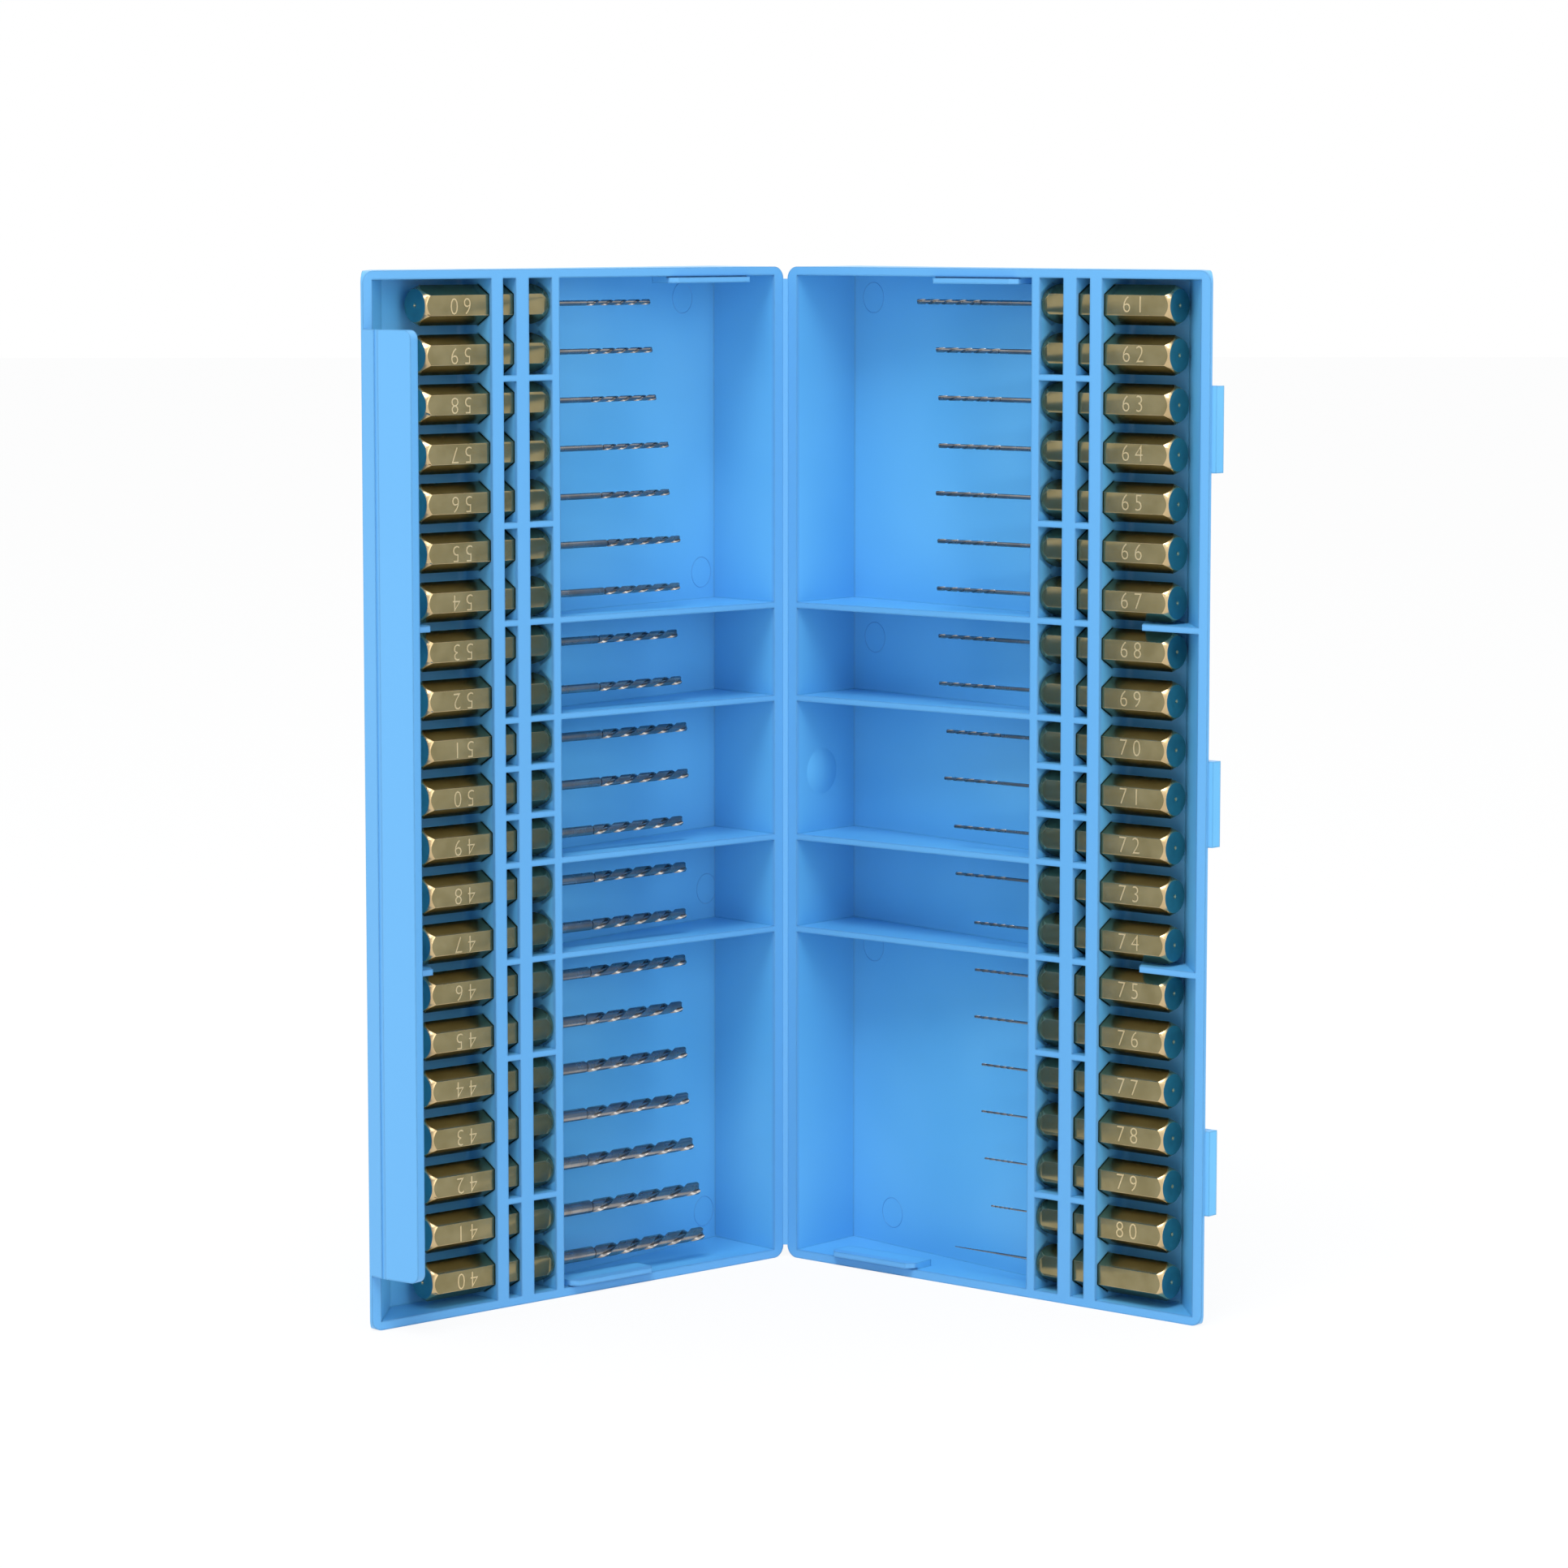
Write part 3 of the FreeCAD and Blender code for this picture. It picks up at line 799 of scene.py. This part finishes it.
@dataclass(frozen=True)
class TwistDrill:
    """Two-fluted twist drill, its masters of unit diameter and length along -z."""

    turns: float = 2.3
    lead_base: float = 3.0
    lead_diameters: float = 3.6
    shortest_stem: float = 8.0
    section_points: int = 32
    steps: int = 72
    land_half_angle: float = 58.0
    core_half_angle: float = 72.0
    flute_waist: tuple[float, float, float] = (0.86, 0.72, 1)
    core_waist: tuple[float, float, float] = (0.9, 0.5, 1)
    point_length: float = 0.02
    point_share: float = 0.12
    stem_sides: int = 24
    stem_tip: float = 0.03
    stem_tip_share: float = 0.55
    tip_facing: float = -0.9
    lap: float = 0.015
    smooth_angle: float = 40.0

    def squeeze(self, ring: bpy.types.Object, half_angle: float,
                waist: tuple[float, float, float]) -> None:
        """Scale the points of the section that lie off its wide axis.

        Args:
            ring: The section, in edit mode.
            half_angle: Angle from the wide axis past which points are scaled, in degrees.
            waist: Scale on each axis.
        """
        limit = math.radians(half_angle)
        select_points(ring, lambda co: math.atan2(abs(co.y), abs(co.x)) > limit)
        bpy.ops.transform.resize(value=waist)

    def fluted_bar(self) -> bpy.types.Object:
        """Twisted two-flute bar from z = 0 to z = -1, open at both ends.

        Returns:
            The fluted mesh.
        """
        bpy.ops.mesh.primitive_circle_add(vertices=self.section_points, radius=UNIT_RADIUS)
        ring = bpy.context.object
        bpy.ops.object.mode_set(mode="EDIT")
        self.squeeze(ring, self.land_half_angle, self.flute_waist)
        self.squeeze(ring, self.core_half_angle, self.core_waist)
        bpy.ops.object.mode_set(mode="OBJECT")
        screw = ring.modifiers.new("twist", "SCREW")
        screw.axis, screw.angle = "Z", 2 * math.pi * self.turns
        screw.screw_offset, screw.steps, screw.render_steps = -1.0, self.steps, self.steps
        screw.use_smooth_shade = True
        apply_modifiers(ring)
        return ring

    def close_ends(self, bar: bpy.types.Object) -> None:
        """Cap the root and draw the far end to a blunt cone.

        Args:
            bar: The twisted bar along z.
        """
        activate(bar)
        bpy.ops.object.mode_set(mode="EDIT")
        select_points(bar, lambda co: co.z > -NEAR)
        bpy.ops.mesh.edge_face_add()
        select_points(bar, lambda co: co.z < NEAR - 1)
        extrude((0, 0, -self.point_length), (self.point_share, self.point_share, 1))
        bpy.ops.mesh.edge_face_add()
        bpy.ops.object.mode_set(mode="OBJECT")
        outward_normals(bar)

    def flute_master(self) -> bpy.types.Object:
        """Fluted end of the drill.

        Returns:
            The master of the fluted end.
        """
        deselect_all()
        bar = self.fluted_bar()
        bar.name = "flute_master"
        self.close_ends(bar)
        smooth_below(bar, self.smooth_angle)
        return bar

    def stem_master(self) -> bpy.types.Object:
        """Plain round stem, its far end chamfered.

        Returns:
            The master of the stem.
        """
        deselect_all()
        bpy.ops.mesh.primitive_cylinder_add(vertices=self.stem_sides, radius=UNIT_RADIUS, depth=1.0,
                                            location=(0, 0, -0.5))
        stem = bpy.context.object
        stem.name = "stem_master"
        settle(stem)
        bpy.ops.object.mode_set(mode="EDIT")
        select_faces(stem, lambda face: face.normal.z < self.tip_facing)
        extrude((0, 0, -self.stem_tip), (self.stem_tip_share, self.stem_tip_share, 1))
        bpy.ops.object.mode_set(mode="OBJECT")
        smooth_below(stem, self.smooth_angle)
        return stem

    def flute_length(self, diameter: float, reach: float) -> float:
        """Length of the fluted end of a drill, mm."""
        lead = self.lead_base + self.lead_diameters * diameter
        return min(self.turns * lead, reach - self.shortest_stem)

    def stem(self, master: bpy.types.Object, name: str, matrix: Matrix, diameter: float,
             length: float) -> bpy.types.Object:
        """Plain stem that stands on a shank's nose.

        Args:
            master: The stem's master.
            name: Name of the piece.
            matrix: Place of the bit.
            diameter: Diameter of the stem, mm.
            length: Length of the stem with its chamfered tip, mm.

        Returns:
            The stem.
        """
        size = Matrix.Diagonal((diameter, diameter, length / (1 + self.stem_tip), 1))
        return copy_placed(master, name, matrix @ Z_ALONG_X @ size)

    def piece(self, masters: tuple[bpy.types.Object, bpy.types.Object], name: str, matrix: Matrix,
              diameter: float, reach: float) -> bpy.types.Object:
        """One drill, its fluted end joined to its stem with a small lap.

        Args:
            masters: Stem and flute masters.
            name: Name of the piece.
            matrix: Place of the bit.
            diameter: Drill diameter, mm.
            reach: Length past the shank's nose, mm.

        Returns:
            The drill.
        """
        flute = self.flute_length(diameter, reach)
        plain = reach - flute
        stem = self.stem(masters[0], name, matrix, diameter, plain)
        start = Matrix.Translation((-plain * (1 - self.lap), 0, 0))
        run = (flute + plain * self.lap) / (1 + self.point_length)
        size = Matrix.Diagonal((diameter, diameter, run, 1))
        fluted = copy_placed(masters[1], name + "_flutes", matrix @ start @ Z_ALONG_X @ size)
        join(stem, fluted)
        return stem


@dataclass(frozen=True)
class Needle:
    """Stepped needle of the bit without a number."""

    stem_diameter: float = 0.9
    stem_length: float = 4.4
    reach: float = 21.4
    lap: float = 0.2
    tip_radius: float = 0.08
    root_radius: float = 0.25
    sides: int = 16

    def piece(self, drill: TwistDrill, stem_master: bpy.types.Object, name: str,
              matrix: Matrix) -> bpy.types.Object:
        """Model the needle on its stem.

        Args:
            drill: The drill whose stem it shares.
            stem_master: The stem's master.
            name: Name of the piece.
            matrix: Place of the bit.

        Returns:
            The needle.
        """
        stem = drill.stem(stem_master, name, matrix, self.stem_diameter, self.stem_length)
        start = Matrix.Translation((-self.stem_length + self.lap, 0, 0))
        deselect_all()
        run = self.reach - self.stem_length + self.lap
        bpy.ops.mesh.primitive_cone_add(vertices=self.sides, radius1=self.tip_radius,
                                        radius2=self.root_radius, depth=run,
                                        location=(0, 0, -run / 2))
        point = bpy.context.object
        settle(point)
        point.data.transform(matrix @ start @ Z_ALONG_X)
        join(stem, point)
        return stem


@dataclass(frozen=True)
class StampedNumber:
    """Number on the flat that faces out of the tray, as thin strokes."""

    digit_height: float = 3.2
    letter_scale: float = 1.38
    middle: float = 20.9
    gap: float = 3.0
    narrow: float = 0.9
    proud: float = 0.03
    thickness: float = 0.05
    stroke_offset: float = -0.08
    curve_steps: int = 3

    def digit(self, sign: str, across: float, matrix: Matrix, flat: float) -> bpy.types.Object:
        """One digit, cut from a letter and laid on the flat.

        Args:
            sign: The digit.
            across: Its place along the shank, mm.
            matrix: Place of the bit.
            flat: Distance of the flat from the axis, mm.

        Returns:
            The digit's mesh.
        """
        bpy.ops.object.text_add()
        letter = bpy.context.object.data
        letter.body, letter.size = sign, self.digit_height * self.letter_scale
        letter.align_x, letter.align_y = "CENTER", "CENTER"
        letter.offset, letter.extrude = self.stroke_offset, self.thickness
        letter.resolution_u = self.curve_steps
        bpy.ops.object.convert(target="MESH")
        mark = bpy.context.object
        slide = Matrix.Translation((across, 0, flat + self.proud - self.thickness))
        mark.matrix_basis = Matrix.Identity(4)
        mark.data.transform(matrix @ slide @ Matrix.Diagonal((self.narrow, 1, 1, 1)))
        return mark

    def piece(self, name: str, number: str, matrix: Matrix, flat: float) -> bpy.types.Object:
        """The whole number.

        Args:
            name: Name of the piece.
            number: The digits.
            matrix: Place of the bit.
            flat: Distance of the flat from the axis, mm.

        Returns:
            The number as a thin mesh.
        """
        half = (len(number) - 1) / 2
        marks = [self.digit(sign, self.middle + (step - half) * self.gap, matrix, flat)
                 for step, sign in enumerate(number)]
        join(*marks)
        marks[0].name = name
        return marks[0]


@dataclass(frozen=True)
class Column:
    """One tray's column of numbered bits, from the top."""

    side: Side
    first_number: int
    number_step: int
    diameters: tuple[float, ...]
    reaches: tuple[float, ...]


LATCH_COLUMN = Column(
    Side.LATCH, 60, -1,
    (1.016, 1.041, 1.067, 1.092, 1.181, 1.321, 1.397, 1.511, 1.613, 1.702, 1.778, 1.854, 1.930,
     1.994, 2.057, 2.083, 2.184, 2.261, 2.375, 2.438, 2.489),
    (26.6, 27.1, 28.0, 31.0, 31.2, 33.8, 33.7, 33.0, 34.0, 35.3, 35.6, 34.2, 35.0, 35.0, 34.9,
     34.0, 35.0, 35.5, 36.6, 38.2, 39.2))
CATCH_COLUMN = Column(
    Side.CATCH, 61, 1,
    (0.991, 0.965, 0.940, 0.914, 0.889, 0.838, 0.813, 0.787, 0.742, 0.711, 0.660, 0.635, 0.610,
     0.572, 0.533, 0.508, 0.457, 0.406, 0.368, 0.343),
    (31.3, 26.8, 26.2, 26.1, 26.7, 26.3, 26.4, 26.0, 25.8, 24.0, 24.5, 22.1, 21.7, 17.2, 17.0,
     17.1, 15.3, 15.3, 14.5, 12.9))


@dataclass(frozen=True)
class BitSet:
    """All bits of the case, each a shank, a drill and its stamped number."""

    place: TrayPlace
    finishes: Finishes
    columns: tuple[Column, ...] = (LATCH_COLUMN, CATCH_COLUMN)
    shank: Shank = Shank()
    drill: TwistDrill = TwistDrill()
    needle: Needle = Needle()
    number: StampedNumber = StampedNumber()

    def hand_over(self, side: Side, node: str,
                  *pieces: bpy.types.Object) -> list[bpy.types.Object]:
        """Let pieces ride with their tray in place of a CAD bit.

        Args:
            side: The tray.
            node: CAD node that they stand for.
            pieces: The pieces of one bit.

        Returns:
            The pieces.
        """
        for piece in pieces:
            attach(piece, side.body)
            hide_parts(node)
        return list(pieces)

    def build(self) -> list[bpy.types.Object]:
        """Model the masters, copy them to every socket and stand them for the CAD bits.

        Returns:
            The pieces of all bits.
        """
        pieces = []
        bar = self.shank.master(self.finishes)
        stem, fluted = self.drill.stem_master(), self.drill.flute_master()
        for column in self.columns:
            for socket, (diameter, reach) in enumerate(zip(column.diameters, column.reaches)):
                number = column.first_number + column.number_step * socket
                matrix = self.place.bit_matrix(column.side, socket)
                hexed = copy_placed(bar, f"shank_{number}", matrix)
                stamped = self.number.piece(
                    f"number_{number}", str(number), matrix, self.shank.flats / 2)
                steel = self.drill.piece((stem, fluted), f"drill_{number}", matrix, diameter, reach)
                # The number's bright colour is a painted highlight on its strokes.
                paint(stamped, self.finishes.stamp)
                paint(steel, self.finishes.steel)
                pieces += self.hand_over(column.side, f"bit_{number}", hexed, steel, stamped)
        matrix = self.place.bit_matrix(Side.CATCH, self.place.sockets - 1)
        hexed = copy_placed(bar, "shank_needle", matrix)
        steel = self.needle.piece(self.drill, stem, "drill_needle", matrix)
        paint(steel, self.finishes.steel)
        pieces += self.hand_over(Side.CATCH, "bit_needle", hexed, steel)
        discard(bar, stem, fluted)
        return pieces


@dataclass(frozen=True)
class HingeStrips:
    """The two living hinges, thin strips laid along their joints."""

    place: TrayPlace
    finishes: Finishes
    half_width: float = 0.55
    thickness: float = 0.45
    spine_set_back: float = 0.02
    cuts: int = 5

    def strip(self, name: str, node: str, across: Vector, depth: Vector,
              middle: Vector) -> bpy.types.Object:
        """Strip along z, subdivided so that it can bend, in place of its CAD node.

        Args:
            name: Name of the piece.
            node: CAD node that gives its height and that it stands for.
            across: Unit vector over the hinge.
            depth: Unit vector through its thickness.
            middle: Point of the hinge, in metres.

        Returns:
            The strip.
        """
        low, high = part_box(node)
        deselect_all()
        bpy.ops.mesh.primitive_cube_add(size=1)
        strip = bpy.context.object
        strip.name = name
        bpy.ops.object.mode_set(mode="EDIT")
        bpy.ops.mesh.subdivide(number_cuts=self.cuts)
        bpy.ops.object.mode_set(mode="OBJECT")
        size = Matrix.Diagonal((2 * self.half_width * MM, self.thickness * MM, high.z - low.z, 1))
        turn = Matrix((across, depth, Vector((0, 0, 1)))).transposed().to_4x4()
        centre = Vector((middle.x, middle.y, (low.z + high.z) / 2))
        strip.data.transform(Matrix.Translation(centre) @ turn @ size)
        outward_normals(strip)
        paint(strip, self.finishes.hinge)
        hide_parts(node)
        return strip

    def build(self) -> list[bpy.types.Object]:
        """Model both strips and lay them across their joints.

        Returns:
            The two strips.
        """
        right, back = Vector((1, 0, 0)), Vector((0, 1, 0))
        middle = self.place.hinge() + back * (self.spine_set_back * MM)
        spine = self.strip("spine_hinge_strip", "spine_hinge_web", right, back, middle)
        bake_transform(spine)
        out, down = self.place.axes(Side.LATCH)
        pivot = joint_point("latch_flap")
        latch = self.strip("latch_hinge_strip", "latch_hinge_web", -down, out, pivot)
        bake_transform(latch)
        return [spine, latch]


@dataclass(frozen=True)
class MouldMarks:
    """Ejector pin circles on the tray floors."""

    place: TrayPlace
    finishes: Finishes
    ring_radius: float = 2.9
    ring_steps: int = 48
    wire_radius: float = 0.07
    wire_steps: int = 6
    flat_top: float = 0.6
    smooth_angle: float = 60.0
    floor_slope: float = 8.5 / 51.3
    spine_depth: float = 17.5
    spine_inner: float = 2.7
    spots: tuple[tuple[Side, float, float], ...] = (
        (Side.LATCH, 12.0, 184.5), (Side.LATCH, 6.6, 132.0),
        (Side.LATCH, 5.2, 70.5), (Side.LATCH, 6.2, 7.2),
        (Side.CATCH, 8.0, 184.5), (Side.CATCH, 8.6, 119.5),
        (Side.CATCH, 8.4, 59.5), (Side.CATCH, 14.0, 8.0),
    )

    def floor_depth(self, u: float) -> float:
        """Depth of the sloped floor at a distance from the hinge, mm."""
        return self.spine_depth - (u - self.spine_inner) * self.floor_slope

    def master(self) -> bpy.types.Object:
        """Ring of thin wire, its upper side pressed flatter.

        Returns:
            The master, in millimetres.
        """
        deselect_all()
        bpy.ops.mesh.primitive_torus_add(
            major_segments=self.ring_steps, minor_segments=self.wire_steps,
            major_radius=self.ring_radius, minor_radius=self.wire_radius)
        ring = bpy.context.object
        bpy.ops.object.mode_set(mode="EDIT")
        select_points(ring, lambda co: co.z > self.wire_radius / 2)
        bpy.ops.transform.resize(value=(1, 1, self.flat_top))
        bpy.ops.object.mode_set(mode="OBJECT")
        smooth_below(ring, self.smooth_angle)
        return ring

    def floor_matrix(self, side: Side, u: float, z: float) -> Matrix:
        """Matrix that lays a master on the floor of a tray.

        Args:
            side: The tray.
            u: Distance from the hinge line, mm.
            z: Height, mm.

        Returns:
            Matrix from the master's millimetres to the frame's metres.
        """
        out, down = self.place.axes(side)
        slope = (out - down * self.floor_slope).normalized()
        normal = -(down + out * self.floor_slope).normalized()
        turn = Matrix((slope, normal.cross(slope), normal)).transposed().to_4x4()
        centre = self.place.point(side, u, self.floor_depth(u), z)
        return Matrix.Translation(centre) @ turn @ Matrix.Scale(MM, 4)

    def build(self) -> list[bpy.types.Object]:
        """Lay a raised ring on the floor at each ejector pin.

        Returns:
            The rings.
        """
        ring, marks = self.master(), []
        for count, (side, u, z) in enumerate(self.spots, start=1):
            mark = copy_placed(ring, f"ejector_mark_{count}", self.floor_matrix(side, u, z))
            paint(mark, self.finishes.mark)
            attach(mark, side.body)
            marks.append(mark)
        discard(ring)
        return marks


@dataclass(frozen=True)
class Trays:
    """The CAD trays and flap, dressed in the case's plastic."""

    finishes: Finishes
    nodes: tuple[tuple[str, Side], ...] = (
        ("latch_tray", Side.LATCH), ("catch_tray", Side.CATCH), ("latch_flap", Side.LATCH))

    def build(self) -> list[bpy.types.Object]:
        """Paint each moulded node.

        Returns:
            The nodes.
        """
        for name, side in self.nodes:
            paint(frame["nodes"][name], self.finishes.trays[side])
        return [frame["nodes"][name] for name, _ in self.nodes]


@dataclass(frozen=True)
class Lamp:
    """Square soft light aimed at the middle of the case, in metres and watts."""

    name: str
    place: tuple[float, float, float]
    power: float
    size: float = 0.8
    target: tuple[float, float, float] = (0.0, 0.0, 0.1)

    def build(self) -> None:
        """Hang the light."""
        data = bpy.data.lights.new(self.name, "AREA")
        data.size, data.energy = self.size, self.power
        lamp = bpy.data.objects.new(self.name, data)
        bpy.context.scene.collection.objects.link(lamp)
        lamp.location = self.place
        aim = Vector(self.target) - Vector(self.place)
        lamp.rotation_euler = aim.to_track_quat("-Z", "Y").to_euler()


@dataclass(frozen=True)
class Studio:
    """Pale floor, soft lights and the camera at the photograph's angle."""

    place: TrayPlace
    focal_pixels: float = 6286.0
    frame_pixels: float = 1932.0
    sensor: float = 36.0
    clip: tuple[float, float] = (0.05, 40.0)
    stand: tuple[float, float, float] = (-17.545, -970.446, 201.5)
    yaw: float = 1.02
    pitch: float = 6.442
    floor_half: float = 6.0
    floor_white: float = 0.93
    floor_roughness: float = 0.9
    floor_glow: float = 0.9
    ambient: float = 0.85
    ambient_tint: Colour = (0.97, 0.985, 1.0, 1)
    lamps: tuple[Lamp, ...] = (
        Lamp("key", (-0.3, -0.9, 1.6), 16.0), Lamp("fill", (0.9, -1.3, 0.7), 4.0))

    def camera(self) -> None:
        """Stand the camera where the fitted view puts it."""
        data = bpy.data.cameras.new("view")
        data.sensor_width = self.sensor
        data.lens = self.focal_pixels / self.frame_pixels * self.sensor
        data.clip_start, data.clip_end = self.clip
        camera = bpy.data.objects.new("view", data)
        bpy.context.scene.collection.objects.link(camera)
        camera.location = self.place.hinge() + Vector(self.stand) * MM
        camera.rotation_euler = (math.radians(90 - self.pitch), 0, -math.radians(self.yaw))
        bpy.context.scene.camera = camera

    def floor(self) -> None:
        """Add the plain floor, white to the camera except where the case shades it."""
        deselect_all()
        bpy.ops.mesh.primitive_plane_add(size=2 * self.floor_half)
        floor = bpy.context.object
        floor.name = "floor"
        material, shader = blank_material("pale_floor")
        tree, links = material.node_tree, material.node_tree.links
        set_inputs(shader, Base_Color=(self.floor_white,) * 3 + (1,),
                   Roughness=self.floor_roughness)
        glow = node_of(tree, "ShaderNodeEmission", Strength=1.0)
        mix, share = tree.nodes.new("ShaderNodeMixShader"), tree.nodes.new("ShaderNodeMath")
        share.operation = "MULTIPLY"
        share.inputs[1].default_value = self.floor_glow
        links.new(seen_rays(tree), share.inputs[0])
        links.new(share.outputs["Value"], mix.inputs["Fac"])
        links.new(shader.outputs["BSDF"], mix.inputs[1])
        links.new(glow.outputs["Emission"], mix.inputs[2])
        links.new(mix.outputs["Shader"], tree.nodes["Material Output"].inputs["Surface"])
        paint(floor, material)

    def world(self) -> None:
        """Even pale surroundings, white where they are seen."""
        world = bpy.data.worlds.new("studio")
        bpy.context.scene.world = world
        world.use_nodes = True
        tree, links = world.node_tree, world.node_tree.links
        soft = tree.nodes["Background"]
        set_inputs(soft, Color=self.ambient_tint, Strength=self.ambient)
        white = node_of(tree, "ShaderNodeBackground", Color=WHITE, Strength=1.0)
        mix = tree.nodes.new("ShaderNodeMixShader")
        links.new(seen_rays(tree), mix.inputs["Fac"])
        links.new(soft.outputs["Background"], mix.inputs[1])
        links.new(white.outputs["Background"], mix.inputs[2])
        links.new(mix.outputs["Shader"], tree.nodes["World Output"].inputs["Surface"])

    def build(self) -> None:
        """Set up floor, surroundings, lamps and camera."""
        bpy.context.scene.view_settings.view_transform = "Standard"
        self.world()
        self.floor()
        for lamp in self.lamps:
            lamp.build()
        self.camera()


def main() -> None:
    """Build every sub-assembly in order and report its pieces."""
    logging.basicConfig(level=logging.INFO, format="%(message)s")
    place = TrayPlace()
    finishes = Finishes(place)
    assemblies = (Trays(finishes), HingeStrips(place, finishes), MouldMarks(place, finishes),
                  BitSet(place, finishes))
    for assembly in assemblies:
        for piece in assembly.build():
            LOG.info("%s: %s", type(assembly).__name__, piece.name)
    Studio(place).build()
    LOG.info("Studio: floor, surroundings, lamps and camera")


if __name__ == "__main__":
    main()
